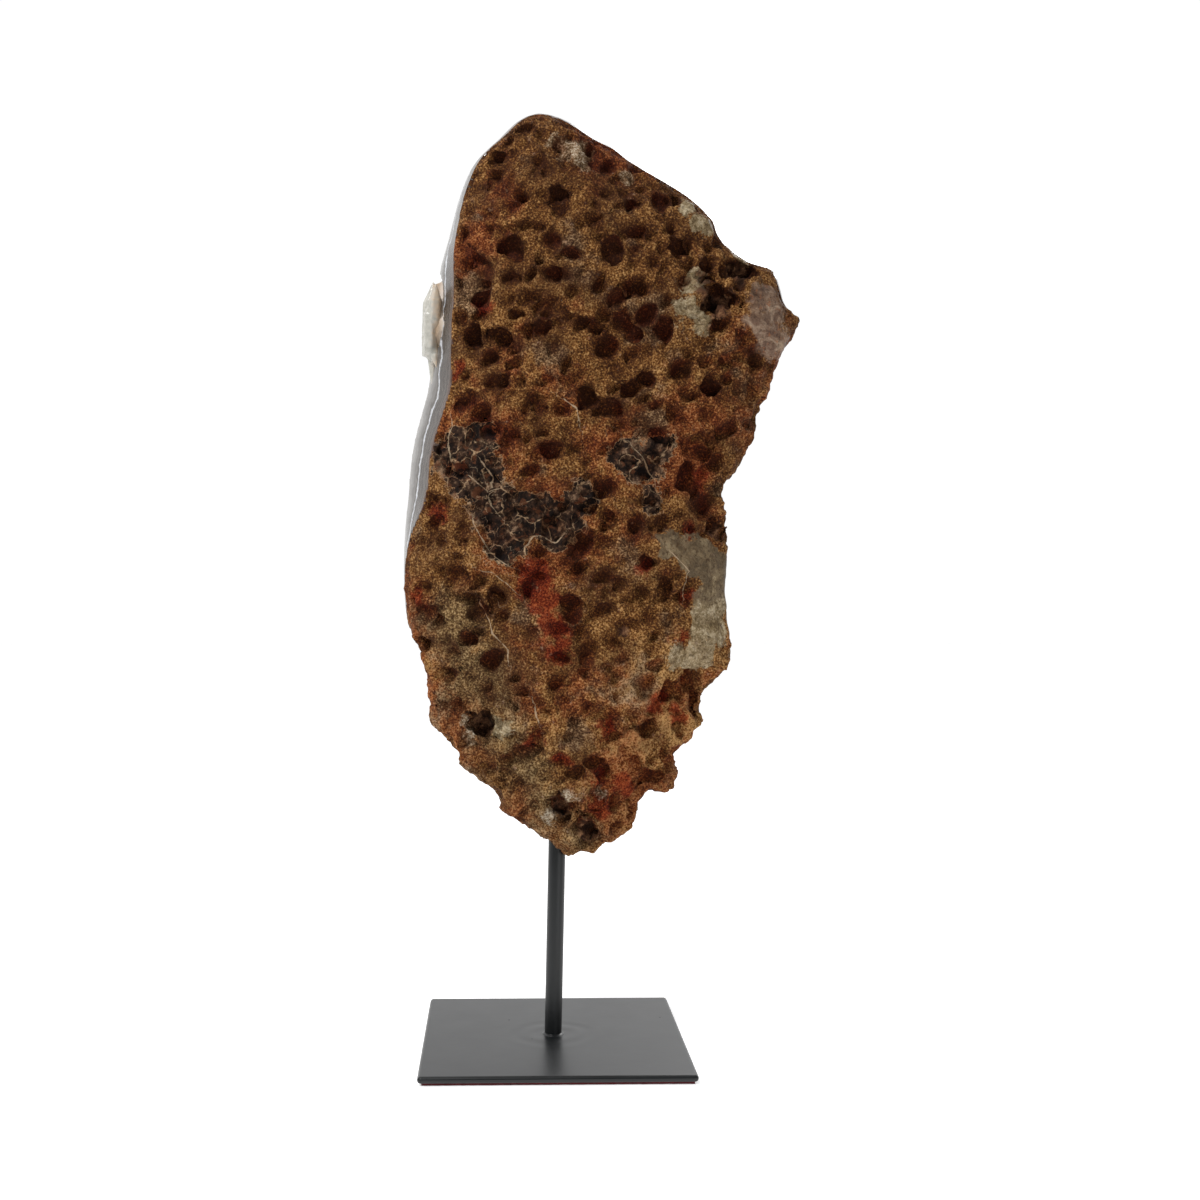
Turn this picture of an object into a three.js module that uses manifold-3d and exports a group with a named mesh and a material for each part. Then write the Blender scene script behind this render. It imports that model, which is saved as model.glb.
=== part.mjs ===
// An agate druzy: a cap sawn from a geode, held up by a black steel rod on a square plate.
// The spongy brown rind faces -Y. The polished rim and the crystal-lined hollow face +Y.
// Millimetres, +Z up, with the origin under the middle of the base.
import * as THREE from "three";
import { ImprovedNoise } from "three/addons/math/ImprovedNoise.js";
import { mergeVertices } from "three/addons/utils/BufferGeometryUtils.js";
import Module from "manifold-3d";

const wasm = await Module();
wasm.setup();

// Stand
const feltThickness = 1;
const feltInset = 1.5;
const plateSide = 120;
const plateThickness = 3;
const plateCornerRadius = 1.6;
const plateBevel = 0.5;
const rodRadius = 4;
const rodLean = THREE.MathUtils.degToRad(1.2);
const rodEnd = 138;
const rodChamfer = 0.6;
const rodSides = 24;
const holeClearance = 0.3;
const holeEnd = 140;

// Depths of the stone along Y. Its heights are measured from the plate's underside.
const rimY = 20;
const rindEdgeY = -12;
const domeDepth = 16;
const domeReach = 45;
const rimWallDrop = 5;
const rimWallRun = 1.5;
const bowlDepth = 7;
const bowlReach = 34;
const crustGap = 0.3;
const crustInset = 1.9;
const crustWall = [[-40, crustInset], [16, crustInset], [34, 5]];
const crustThickness = 3.6;

// Spacing of the points that carry each surface
const edgeSpacing = 6;
const rindSpacing = 9.8;
const hollowSpacing = 7;
const floorSpacing = 15;
const crystalSpacing = 13;
const leastSpacing = 1.7;
const gapToPits = 3.2;

// Plan of the relief surfaces: points over the stone's span, inside a wide ellipse that
// surrounds it
const stoneSpan = { left: -82, right: 128, bottom: 76, top: 446 };
const surround = { x: 22, z: 261, halfWidth: 132, halfHeight: 216, sides: 56 };

// Uneven heights: how wide the waves are, and how high
const rindSwell = { wavelength: 24, height: 2 };
const rindLumps = { wavelength: 9, height: 0.8 };
const flakeSway = { wavelength: 7, height: 1.5 };
const floorMounds = { wavelength: 30, height: 2.6 };
const crustMounds = { wavelength: 24, height: 1.6 };
const crystalHeight = { least: 2.6, most: 6.2 };

// Sawn and polished part of the edge, from the lower left up over the top: x, z, and how far
// the rind stands back behind the polished bevel there.
const polishedEdge = [
  [-68.5, 193, 3.5], [-70.1, 205, 3.6], [-70.6, 220, 3.8], [-70.1, 238, 7], [-68.5, 255, 10.5],
  [-67.1, 272, 11], [-65.1, 283, 11.6], [-61.9, 295, 12.2], [-59, 306, 12], [-57.7, 320, 11],
  [-56.5, 335, 10.2], [-54.6, 350, 9.2], [-53.3, 363, 7.5], [-49.9, 375, 5.7], [-47.1, 386, 5.5],
  [-43.8, 398, 5.8], [-39.5, 409, 6.7], [-35.7, 415, 7], [-24.3, 426, 7.8], [-18.6, 432, 8.4],
  [-9.5, 437, 9.4], [-3.3, 437.2, 10], [3.9, 435.4, 10], [11, 432, 10], [22.9, 424, 9.6],
  [30, 421, 9.6], [37.7, 415, 9.5], [56.3, 404, 9.5], [65.8, 398, 9.4], [72, 392.5, 9],
  [79.2, 384, 8.4], [80.1, 379, 8], [82.9, 375, 8.4], [91, 369, 8.8], [96.7, 366, 8.8],
  [101.5, 365.3, 8.6], [106.2, 362.5, 8.4], [110.1, 352, 8], [111.5, 346, 7.6], [114.8, 340.6, 7],
];

// Broken part of the edge, from the upper right down round the foot: x, z
const brokenEdge = [
  [115, 334], [112.5, 327], [107, 321], [103, 310], [100.3, 301], [97, 293], [94.7, 287.4],
  [95.1, 281.8], [91, 276.2], [86.9, 266.8], [80, 259.3], [78.6, 251.8], [82.4, 243.5], [78.5, 239],
  [81.3, 236.6], [80.7, 227], [81.2, 219.3], [79.8, 207.6], [81.6, 193.6], [83, 182], [82.1, 175.5],
  [78.8, 169.9], [74.2, 166.1], [70.4, 163.3], [68.6, 158.7], [70, 153], [68, 145], [65.9, 141.5],
  [61.9, 136.5], [57.6, 134.4], [58, 126.5], [56.2, 117.2], [51.6, 116.1], [42.3, 115],
  [41.2, 110.8], [40.1, 106.5], [38, 100.1], [35.9, 96.5], [28, 92.6], [23.7, 92.2], [18.7, 87.8],
  [12.7, 88.3], [10.2, 85.1], [5.9, 85.1], [0, 90.5], [-8, 97.1], [-16.8, 102.7], [-27.1, 108.3],
  [-26.2, 113.9], [-31.7, 119.5], [-41.5, 125.1], [-48, 136.3], [-51.3, 141.9], [-57.4, 147.5],
  [-57.4, 153], [-58.7, 164.3], [-61.1, 175.4], [-65.7, 186.6],
];

// Each wall ring: depth y, then how far it stands inside the edge where the edge is polished,
// as a share of the bevel plus a fixed step, and where it is broken.
const wallRings = [
  { y: -48, bevelShare: 1, step: 10, brokenStep: 12, ragged: 1 },
  { y: -19, bevelShare: 1, step: 3.5, brokenStep: 4, ragged: 1 },
  { y: rindEdgeY, bevelShare: 1, step: 0, brokenStep: 0.6, ragged: 1 },
  { y: -1, bevelShare: 0.58, step: 0, brokenStep: 0, ragged: 0 },
  { y: 7, bevelShare: 0.26, step: 0, brokenStep: 0.5, ragged: 0.8 },
  { y: 15.5, bevelShare: 0, step: 0, brokenStep: 1.2, ragged: 1 },
  { y: 20.6, bevelShare: 0, step: 2.2, brokenStep: 4, ragged: 1 },
  { y: 34, bevelShare: 0, step: 4, brokenStep: 7, ragged: 1 },
];
const ledges = { wavelength: 11, height: 5, share: 0.12 };

// Mouth of the hollow in the front face. At the upper left it breaks through the rim.
const hollowMouth = [
  [-53, 200], [-55, 225], [-52, 250], [-50, 272], [-45, 292], [-46, 308], [-57, 313], [-62.5, 323],
  [-64, 334], [-61.5, 347], [-58, 359], [-46, 361], [-37, 372], [-31, 392], [-20, 408], [-6, 418],
  [8, 415], [24, 404], [44, 392], [58, 381], [66, 366], [84, 352], [95, 344], [97, 330], [88, 318],
  [82, 298], [72, 280], [64, 262], [60, 240], [63, 215], [66, 190], [58, 170], [50, 152],
  [40, 137], [22, 127], [2, 129], [-18, 139], [-36, 158], [-46, 180],
];
const breach = { x: -60, z: 337, reach: 30, depth: 9, rise: 8 };

// Round pits in the rind, read off the stone: x, z, radius
const pits = [
  [-20, 406, 4], [-20, 382, 4], [1, 386, 5], [18, 382, 4], [-30, 372, 3.5], [-8, 372, 4],
  [-40, 364, 3.5], [-20, 363, 4.5], [0, 365, 4.5], [8, 361, 4], [-34, 354, 3.5], [-20, 350, 4.5],
  [-2, 350, 5], [5, 350, 4], [-33, 341, 5], [-32, 334, 5], [-12, 342, 5.5], [-18, 336, 3.5],
  [-3, 338, 4.5], [2, 334, 3.5], [11, 329, 4], [-39, 326, 4], [-25, 323, 4.5], [-18, 318, 4],
  [-37, 317, 4], [-5, 326, 4.5], [20, 327, 4.5], [48, 386, 6], [54, 373, 4.5], [29, 380, 3.5],
  [25, 362, 6], [37, 362, 4], [44, 357, 4], [47, 366, 3.5], [56, 364, 5.5], [48, 346, 3.5],
  [28, 340, 4.5], [42, 334, 4], [33, 327, 5], [48, 324, 4.5], [34, 315, 4.5], [25, 316, 3.5],
  [-28, 303, 5], [-24, 297, 4], [-20, 310, 4], [-41, 294, 4.5], [-13, 292, 4], [-5, 291, 4.5],
  [-17, 285, 3.5], [15, 295, 4], [24, 291, 4.5], [-28, 281, 5], [-20, 274, 4.5], [-1, 273, 5],
  [-11, 263, 4.5], [-22, 267, 4.5], [-27, 260, 4], [-46, 264, 4], [-45, 258, 3.5], [-19, 252, 3.5],
  [4, 248, 3.5], [14, 246, 4.5], [-26, 243, 4], [-2, 238, 4.5], [14, 259, 4], [23, 256, 5],
  [-60, 233, 4], [67, 311, 5], [41, 303, 5], [35, 300, 4], [59, 298, 3.5], [70, 301, 4], [78, 306, 4.5],
  [67, 289, 3.5], [43, 291, 4], [79, 284, 5.5], [56, 286, 4], [58, 277, 4], [47, 277, 4.5],
  [66, 272, 6], [60, 259, 6], [66, 250, 4], [44, 268, 4], [41, 251, 3.5], [36, 239, 4], [60, 237, 3.5],
  [22, 244, 4], [-44, 217, 5], [-50, 202, 3.5], [-35, 199, 5], [-27, 203, 4], [-59, 198, 4],
  [-40, 187, 4], [-56, 186, 3.5], [-29, 177, 5], [-46, 178, 3.5], [7, 202, 6], [3, 179, 4.5],
  [-13, 206, 4], [11, 230, 6], [-4, 227, 3.5], [19, 226, 4], [20, 214, 4], [23, 200, 4], [29, 192, 3.5],
  [13, 179, 4], [14, 157, 4], [-4, 155, 3.5], [-8, 144, 5], [-42, 163, 3.5], [40, 221, 4], [33, 206, 4],
  [46, 207, 3.5], [60, 206, 4], [43, 183, 3.5], [46, 175, 4], [57, 185, 4], [54, 164, 4.5],
  [51, 157, 4], [42, 155, 4], [26, 151, 5], [25, 143, 4.5], [34, 147, 3.5], [44, 147, 3.5], [2, 133, 4],
  [10, 127, 4.5], [19, 131, 3.5], [22, 125, 4.5], [48, 127, 3.5], [20, 114, 5],
];
const pitDepthShare = 0.85;

// Deep holes and broken pockets: x, z, radius, depth
const cavities = [
  [71, 341, 7.5, 15], [83, 355, 8, 10], [78, 341, 5, 8], [60, 348, 3, 5], [-33, 149, 6.5, 12],
  [2, 113, 4.5, 8], [15, 101, 4.5, 8], [75, 238, 4, 6],
];

// Patches where the spongy skin has flaked off, each a chain of overlapping rounds: x, z, radius
const flaked = [
  [-46, 272, 10], [-36, 262, 13], [-36, 278, 9], [-28, 248, 12], [-12, 244, 12], [2, 240, 11],
  [-22, 232, 9], [32, 272, 8], [40, 266, 9], [48, 276, 7], [44, 251, 6],
];
const flakeDepth = 2.4;
const flakeEdge = 2.5;

// Smooth knobs that stand out of the rind near its edges: x, z, radius, height
const knobs = [
  [92, 338, 15, 4], [98, 324, 9, 2.5], [68, 216, 15, 3], [70, 184, 11, 3.5], [20, 112, 16, 5],
  [64, 384, 10, 2], [8, 413, 10, 2.5], [-52, 268, 8, 1.5], [7, 92, 9, 2], [50, 123, 9, 2.5],
];

const rindColour = 0x5c3a22;
const crystalColour = 0xcfc9bc;
const steelColour = 0x1e2021;
const feltColour = 0x4a1418;

const noise = new ImprovedNoise();
const random = THREE.MathUtils.seededRandom;
const ease = (t) => 1 - (1 - THREE.MathUtils.clamp(t, 0, 1)) ** 2;
const smooth = (t) => THREE.MathUtils.smoothstep(t, 0, 1);
const plan = ([x, z]) => new THREE.Vector2(x, z);

// Smooth noise over the plan. The layer picks one of many patterns.
function rough(x, z, { wavelength, height }, layer = 0) {
  return height * noise.noise(x / wavelength, z / wavelength, layer + 0.37);
}

// Evenly spaced points on a smooth closed curve through the given ones, anticlockwise in x, z
function smoothLoop(points, spacing) {
  const curve = new THREE.CatmullRomCurve3(
    points.map(([x, z, w = 0]) => new THREE.Vector3(x, w, z)), true, "centripetal");
  const spaced = curve.getSpacedPoints(Math.round(curve.getLength() / spacing)).slice(0, -1);
  const flat = spaced.map((p) => new THREE.Vector2(p.x, p.z));
  if (THREE.ShapeUtils.isClockWise(flat)) spaced.reverse();
  return spaced;
}

// Outward directions of an anticlockwise loop, averaged over a few neighbours
function outwardNormals(loop, reach = 2) {
  return loop.map((_, i) => {
    const before = loop.at((i - reach + loop.length) % loop.length);
    const after = loop.at((i + reach) % loop.length);
    return new THREE.Vector2(after.y - before.y, before.x - after.x).normalize();
  });
}

// Distance from a point to a loop, positive inside
function depthInside(loop, x, z) {
  let nearest = Infinity;
  let inside = false;
  for (let i = 0, j = loop.length - 1; i < loop.length; j = i++) {
    const a = loop[j];
    const b = loop[i];
    const along = ((x - a.x) * (b.x - a.x) + (z - a.y) * (b.y - a.y)) / a.distanceToSquared(b);
    const t = THREE.MathUtils.clamp(along, 0, 1);
    nearest = Math.min(nearest, Math.hypot(a.x + t * (b.x - a.x) - x, a.y + t * (b.y - a.y) - z));
    if (a.y > z !== b.y > z && x < a.x + ((z - a.y) / (b.y - a.y)) * (b.x - a.x)) inside = !inside;
  }
  return inside ? nearest : -nearest;
}

// Delaunay triangles of plan points, each anticlockwise, added one point at a time
function triangulate(points) {
  const far = 1e5;
  const all = [...points, plan([-far, -far]), plan([far, -far]), plan([0, far])];
  const first = points.length;
  const withCircle = (a, b, c) => {
    const [p, q, r] = [all[a], all[b], all[c]];
    const bx = q.x - p.x;
    const by = q.y - p.y;
    const cx = r.x - p.x;
    const cy = r.y - p.y;
    const d = 2 * (bx * cy - by * cx);
    const ux = (cy * (bx * bx + by * by) - by * (cx * cx + cy * cy)) / d;
    const uy = (bx * (cx * cx + cy * cy) - cx * (bx * bx + by * by)) / d;
    return { corners: [a, b, c], x: p.x + ux, y: p.y + uy, r2: ux * ux + uy * uy };
  };
  let triangles = [withCircle(first, first + 1, first + 2)];
  points.forEach((p, index) => {
    const edges = new Map();
    triangles = triangles.filter((t) => {
      if ((p.x - t.x) ** 2 + (p.y - t.y) ** 2 >= t.r2) return true;
      t.corners.forEach((a, k) => {
        const b = t.corners[(k + 1) % 3];
        if (!edges.delete(`${b},${a}`)) edges.set(`${a},${b}`, [a, b]);
      });
      return false;
    });
    for (const [a, b] of edges.values()) triangles.push(withCircle(a, b, index));
  });
  return triangles.map((t) => t.corners).filter((corners) => corners.every((c) => c < first));
}

function solid(geometry) {
  const bare = geometry.index ? geometry.toNonIndexed() : geometry;
  const merged = mergeVertices(
    new THREE.BufferGeometry().setAttribute("position", bare.getAttribute("position")), 1e-4);
  return new wasm.Manifold(new wasm.Mesh({
    numProp: 3,
    vertProperties: merged.attributes.position.array,
    triVerts: new Uint32Array(merged.index.array),
  }));
}

function solidFrom(vertices, faces) {
  return new wasm.Manifold(new wasm.Mesh({
    numProp: 3,
    vertProperties: new Float32Array(vertices.flat()),
    triVerts: new Uint32Array(faces.flat()),
  }));
}

function geometryOf(manifold) {
  const mesh = manifold.getMesh();
  const geometry = new THREE.BufferGeometry();
  geometry.setAttribute("position", new THREE.BufferAttribute(mesh.vertProperties, 3));
  geometry.setIndex(new THREE.BufferAttribute(mesh.triVerts, 1));
  const faceted = geometry.toNonIndexed();
  faceted.computeVertexNormals();
  return faceted;
}

// A closed body between two relief surfaces that share one convex boundary in plan.
// The low surface faces -Y and the high one +Y.
function reliefSlab(boundary, low, high) {
  const lowPoints = [...boundary, ...low.points];
  const highPoints = [...boundary, ...high.points];
  const offset = lowPoints.length;
  const vertices = [
    ...lowPoints.map((p) => [p.x, low.y(p.x, p.y), p.y]),
    ...highPoints.map((p) => [p.x, high.y(p.x, p.y), p.y]),
  ];
  const faces = [
    ...triangulate(lowPoints),
    ...triangulate(highPoints).map(([a, b, c]) => [a + offset, c + offset, b + offset]),
  ];
  boundary.forEach((_, i) => {
    const next = (i + 1) % boundary.length;
    faces.push([i, i + offset, next], [next, i + offset, next + offset]);
  });
  return solidFrom(vertices, faces);
}

// A closed body through rings of equal count, each anticlockwise in plan, from -Y to +Y
function loft(rings) {
  const count = rings[0].length;
  const faces = [];
  for (let k = 0; k + 1 < rings.length; k++) {
    for (let i = 0; i < count; i++) {
      const a = k * count + i;
      const b = k * count + ((i + 1) % count);
      faces.push([a, a + count, b], [b, a + count, b + count]);
    }
  }
  const capOf = (ring) => THREE.ShapeUtils.triangulateShape(
    ring.map(([x, , z]) => new THREE.Vector2(x, z)), []);
  const top = (rings.length - 1) * count;
  faces.push(...capOf(rings[0]));
  faces.push(...capOf(rings.at(-1)).map(([a, b, c]) => [a + top, c + top, b + top]));
  return solidFrom(rings.flat(), faces);
}

// Outer edge of the stone
const edge = smoothLoop([...polishedEdge, ...brokenEdge.map(([x, z]) => [x, z, -1])], edgeSpacing);
const edgePlan = edge.map((p) => new THREE.Vector2(p.x, p.z));
const edgeNormals = outwardNormals(edgePlan);

// Ledges step in from the broken edge by different amounts at each depth.
function wallRing({ y, bevelShare, step, brokenStep, ragged }) {
  return edge.map((p, i) => {
    const polish = p.y > 0 ? smooth(p.y / 2) : 0;
    const ledge = ragged * Math.max(0, rough(p.x, p.z, ledges, y) + ledges.share * ledges.height);
    const inset = polish * (bevelShare * p.y + step) + (1 - polish) * (brokenStep + ledge);
    return [p.x - edgeNormals[i].x * inset, y, p.z - edgeNormals[i].y * inset];
  });
}

const rindEdge = wallRing(wallRings[2]).map(([x, , z]) => new THREE.Vector2(x, z));

function bowl(x, z, [px, pz, radius, depth = radius * pitDepthShare]) {
  const t = Math.hypot(x - px, z - pz) / radius;
  return t < 1 ? depth * (1 - t * t) : 0;
}

function flakeCover(x, z) {
  const deepest = Math.max(...flaked.map(([px, pz, r]) => r - Math.hypot(x - px, z - pz)));
  return smooth((deepest + rough(x, z, flakeSway, 9)) / flakeEdge);
}

// Depth of the rind's surface at a place in plan
function rindY(x, z) {
  const inward = Math.max(0, depthInside(rindEdge, x, z));
  const dome = domeDepth * ease(inward / domeReach);
  const lumps = rough(x, z, rindSwell) + rough(x, z, rindLumps, 2);
  const knob = Math.max(...knobs.map((k) => bowl(x, z, k)));
  const pit = Math.max(...pits.map((p) => bowl(x, z, p)), ...cavities.map((c) => bowl(x, z, c)));
  const flake = flakeDepth * flakeCover(x, z) * smooth(inward / 4);
  return rindEdgeY - dome - lumps * smooth(inward / 8) - knob + pit + flake;
}

// Keeps the points that lie at least the given distance from those already kept
function thinned(points, least) {
  const kept = [];
  for (const p of points) {
    if (kept.every((q) => q.distanceTo(p) >= least)) kept.push(p);
  }
  return kept;
}

// Points in staggered rows over the stone, shifted a little at random, where a test allows them
function scattered(spacing, allowed, seed) {
  random(seed);
  const points = [];
  const rowStep = spacing * Math.sin(Math.PI / 3);
  const shift = () => (random() - 0.5) * spacing * 0.45;
  for (let row = 0, z = stoneSpan.bottom; z < stoneSpan.top; z += rowStep, row++) {
    for (let x = stoneSpan.left + (row % 2) * spacing * 0.5; x < stoneSpan.right; x += spacing) {
      const p = plan([x + shift(), z + shift()]);
      if (allowed(p.x, p.y)) points.push(p);
    }
  }
  return points;
}

function ringPoints(x, z, radius, count, turn = 0) {
  return Array.from({ length: count }, (_, i) => {
    const angle = turn + (i / count) * 2 * Math.PI;
    return plan([x + radius * Math.cos(angle), z + radius * Math.sin(angle)]);
  });
}

// Each pit has its bottom, a ring round the bottom if it is large, and its lip.
function pitPoints([x, z, radius], index) {
  const points = [];
  if (radius >= 4.5) points.push(...ringPoints(x, z, radius * 0.42, 4, index));
  else points.push(plan([x, z]));
  points.push(...ringPoints(x, z, radius * 1.02, radius > 4 ? 7 : 6, index * 0.7));
  return points;
}

const boundary = Array.from({ length: surround.sides }, (_, i) => {
  const angle = (i / surround.sides) * 2 * Math.PI;
  const { x, z, halfWidth, halfHeight } = surround;
  return plan([x + halfWidth * Math.cos(angle), z + halfHeight * Math.sin(angle)]);
});

const hollows = [...pits, ...cavities];
const clearOfHollows = (x, z) =>
  hollows.every(([px, pz, r]) => Math.hypot(x - px, z - pz) > r + gapToPits);
const rindPoints = thinned([
  ...hollows.flatMap(pitPoints),
  ...scattered(rindSpacing, (x, z) => depthInside(edgePlan, x, z) > -6 && clearOfHollows(x, z), 11),
], leastSpacing);

// Front face: the rim, the wall of the hollow, and its floor
const mouth = smoothLoop(hollowMouth, hollowSpacing).map((p) => new THREE.Vector2(p.x, p.z));
const mouthNormals = outwardNormals(mouth, 1);
const insetMouth = (distance) => mouth.map((p, i) => p.clone().addScaledVector(mouthNormals[i], -distance));

function breachCover(x, z) {
  return smooth(1.4 - 1.4 * Math.hypot(x - breach.x, (z - breach.z) * 0.9) / breach.reach);
}

function frontY(x, z) {
  const inward = depthInside(mouth, x, z);
  if (inward <= 0.05) return rimY;
  const wall = rimWallDrop * smooth(inward / rimWallRun);
  const floor = bowlDepth * ease((inward - rimWallRun) / bowlReach);
  const mounds = rough(x, z, floorMounds, 7) * smooth(inward / 12);
  return rimY - wall - floor + mounds - breach.depth * breachCover(x, z);
}

const frontPoints = thinned([
  ...mouth,
  ...insetMouth(rimWallRun),
  ...scattered(floorSpacing, (x, z) => depthInside(mouth, x, z) > 5, 23),
], leastSpacing * 0.8);

// Crystals: tips with a valley point between every three neighbours, so each tip is a pyramid
const tips = scattered(crystalSpacing, (x, z) => depthInside(mouth, x, z) > crustInset - 3, 37);
const valleys = triangulate(tips).map(([a, b, c]) =>
  tips[a].clone().add(tips[b]).add(tips[c]).divideScalar(3));
const tipHeights = new Map(tips.map((p) =>
  [`${p.x},${p.y}`, THREE.MathUtils.lerp(crystalHeight.least, crystalHeight.most, random())]));

function crustY(x, z) {
  const tip = tipHeights.get(`${x},${z}`) ?? 0;
  return frontY(x, z) + crustThickness + rough(x, z, crustMounds, 8) + tip + breach.rise * breachCover(x, z);
}

const front = { points: frontPoints, y: frontY };
const stoneSlab = reliefSlab(boundary, { points: rindPoints, y: rindY }, front);

function rodSolid(radius, bottom, top, chamfer) {
  const profile = [[0, bottom], [radius, bottom], [radius, top - chamfer], [radius - chamfer, top], [0, top]];
  const geometry = new THREE.LatheGeometry(profile.map(plan), rodSides).rotateX(Math.PI / 2);
  const position = geometry.getAttribute("position");
  const lean = Math.tan(rodLean);
  for (let i = 0; i < position.count; i++) {
    position.setX(i, position.getX(i) + lean * (position.getZ(i) - plateThickness));
  }
  return geometry;
}

function stoneGeometry() {
  const walls = loft(wallRings.map(wallRing));
  const hole = solid(rodSolid(rodRadius + holeClearance, plateThickness, holeEnd, rodChamfer));
  return geometryOf(largestBody(walls.intersect(stoneSlab).subtract(hole)));
}

function crustGeometry() {
  const prism = loft(crustWall.map(([y, inset]) => insetMouth(inset).map((p) => [p.x, y, p.y])));
  const underside = { points: frontPoints, y: (x, z) => frontY(x, z) + crustGap };
  const slab = reliefSlab(boundary, underside, { points: [...tips, ...valleys], y: crustY });
  return geometryOf(largestBody(prism.intersect(slab)));
}

function largestBody(manifold) {
  const bodies = manifold.decompose();
  return bodies.reduce((best, body) => (body.volume() > best.volume() ? body : best));
}

// A square sheet with rounded corners and slightly eased edges, its underside at z = 0
function sheetGeometry(side, thickness, radius, bevel) {
  const half = side / 2 - bevel;
  const shape = new THREE.Shape();
  shape.moveTo(-half + radius, -half);
  shape.lineTo(half - radius, -half);
  shape.absarc(half - radius, -half + radius, radius, -Math.PI / 2, 0);
  shape.lineTo(half, half - radius);
  shape.absarc(half - radius, half - radius, radius, 0, Math.PI / 2);
  shape.lineTo(-half + radius, half);
  shape.absarc(-half + radius, half - radius, radius, Math.PI / 2, Math.PI);
  shape.lineTo(-half, -half + radius);
  shape.absarc(-half + radius, -half + radius, radius, Math.PI, 1.5 * Math.PI);
  const options = {
    depth: thickness - 2 * bevel, bevelEnabled: bevel > 0, bevelThickness: bevel, bevelSize: bevel,
    bevelSegments: 1, curveSegments: 3,
  };
  return new THREE.ExtrudeGeometry(shape, options).translate(0, 0, bevel);
}

function node(name, geometry, colour, roughness, metalness) {
  const material = new THREE.MeshStandardMaterial({ color: colour, roughness, metalness });
  const mesh = new THREE.Mesh(geometry, material);
  mesh.name = name;
  return mesh;
}

const agateDruzy = new THREE.Group();
const felt = sheetGeometry(plateSide - 2 * feltInset, feltThickness, plateCornerRadius, 0);
agateDruzy.add(node("base_felt", felt, feltColour, 0.95, 0));

// Everything above the felt is placed from the plate's underside.
const aboveFelt = new THREE.Group();
aboveFelt.position.z = feltThickness;
const plate = sheetGeometry(plateSide, plateThickness, plateCornerRadius, plateBevel);
aboveFelt.add(node("base_plate", plate, steelColour, 0.38, 0.3));
const rod = rodSolid(rodRadius, plateThickness, rodEnd, rodChamfer);
aboveFelt.add(node("stand_rod", rod, steelColour, 0.4, 0.3));
aboveFelt.add(node("agate_slab", stoneGeometry(), rindColour, 0.85, 0));
aboveFelt.add(node("druzy_crust", crustGeometry(), crystalColour, 0.2, 0));
agateDruzy.add(aboveFelt);

export default agateDruzy;
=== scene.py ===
import math
import random

import bpy
import numpy as np
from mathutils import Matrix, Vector, kdtree, noise


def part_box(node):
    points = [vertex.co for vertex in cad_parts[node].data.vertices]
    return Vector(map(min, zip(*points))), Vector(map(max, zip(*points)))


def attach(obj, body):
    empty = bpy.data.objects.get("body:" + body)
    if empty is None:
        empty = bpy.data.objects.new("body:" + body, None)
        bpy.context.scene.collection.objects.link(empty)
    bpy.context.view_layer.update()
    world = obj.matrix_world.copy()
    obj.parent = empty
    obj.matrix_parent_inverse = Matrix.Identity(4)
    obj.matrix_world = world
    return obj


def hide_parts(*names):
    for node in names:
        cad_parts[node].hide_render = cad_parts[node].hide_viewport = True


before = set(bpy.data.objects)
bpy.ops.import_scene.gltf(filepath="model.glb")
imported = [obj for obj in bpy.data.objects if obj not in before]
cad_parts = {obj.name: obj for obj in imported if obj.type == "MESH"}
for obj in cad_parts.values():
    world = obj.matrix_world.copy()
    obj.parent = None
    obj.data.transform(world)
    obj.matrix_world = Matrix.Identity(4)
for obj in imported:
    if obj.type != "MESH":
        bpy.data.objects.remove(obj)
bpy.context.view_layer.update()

scene = bpy.context.scene
mm = 0.001
mergeDistance = 0.01 * mm


# Helpers

def deselectAll():
    if bpy.context.object and bpy.context.object.mode != "OBJECT":
        bpy.ops.object.mode_set(mode="OBJECT")
    bpy.ops.object.select_all(action="DESELECT")


def makeActive(piece):
    deselectAll()
    piece.select_set(True)
    bpy.context.view_layer.objects.active = piece


def applyPlace(piece):
    makeActive(piece)
    bpy.ops.object.transform_apply(location=True, rotation=True, scale=True)


def addModifier(piece, kind, **settings):
    makeActive(piece)
    modifier = piece.modifiers.new(kind.title(), kind)
    for name, value in settings.items():
        setattr(modifier, name, value)
    bpy.ops.object.modifier_apply(modifier=modifier.name)


def copyOfNode(nodeName, pieceName):
    piece = bpy.data.objects.new(pieceName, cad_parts[nodeName].data.copy())
    scene.collection.objects.link(piece)
    piece.data.materials.clear()
    makeActive(piece)
    bpy.ops.object.mode_set(mode="EDIT")
    bpy.ops.mesh.select_all(action="SELECT")
    bpy.ops.mesh.remove_doubles(threshold=mergeDistance)
    bpy.ops.object.mode_set(mode="OBJECT")
    return piece


def finishPiece(piece, nodeName, slotName, *materials):
    for material in materials:
        piece.data.materials.append(material)
    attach(piece, "root")
    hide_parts(nodeName)


def readVectors(mesh, what):
    values = np.empty(len(mesh.vertices) * 3)
    mesh.vertices.foreach_get(what, values)
    return values.reshape(-1, 3)


def setPoints(mesh, points):
    mesh.vertices.foreach_set("co", points.ravel())
    mesh.update()


def setAttribute(mesh, name, values):
    layer = mesh.attributes.get(name) or mesh.attributes.new(name, "FLOAT", "POINT")
    layer.data.foreach_set("value", np.asarray(values, dtype=np.float32))


def smoothStep(values, low, high):
    t = np.clip((values - low) / (high - low), 0, 1)
    return t * t * (3 - 2 * t)


def noiseAt(points, wavelength, seed=0):
    shift = Vector((seed * 3.7, seed * 1.9, seed * 5.3))
    return np.array([noise.noise(Vector(p) / wavelength + shift) for p in points])


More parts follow.
